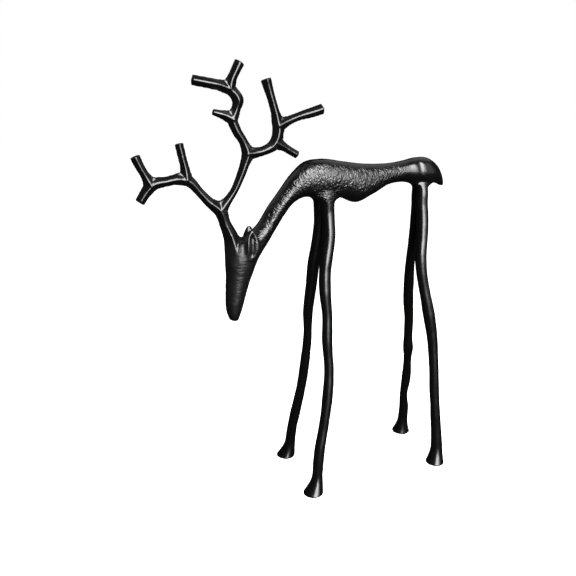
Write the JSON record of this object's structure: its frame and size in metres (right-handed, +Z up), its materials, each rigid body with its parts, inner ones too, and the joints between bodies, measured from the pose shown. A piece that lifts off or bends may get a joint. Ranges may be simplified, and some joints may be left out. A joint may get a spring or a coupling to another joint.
{
  "type": "cast metal reindeer figure",
  "caption": "Standing reindeer figure cast in black metal: lowered head, flat branching antlers, slim back and long thin splayed legs on small flared hooves.",
  "frame": {"origin": "on the floor, below the middle of the figure's box", "axes": "-X is the way the animal faces, +Z up, +Y its right side; the antlers, head and back lie in the XZ plane"},
  "size_m": [0.2704, 0.0834, 0.3601],
  "materials": {
    "black_cast_metal": "satin"
  },
  "bodies": {
    "root": {"reindeer_casting": "black_cast_metal"}
  },
  "joints": []
}
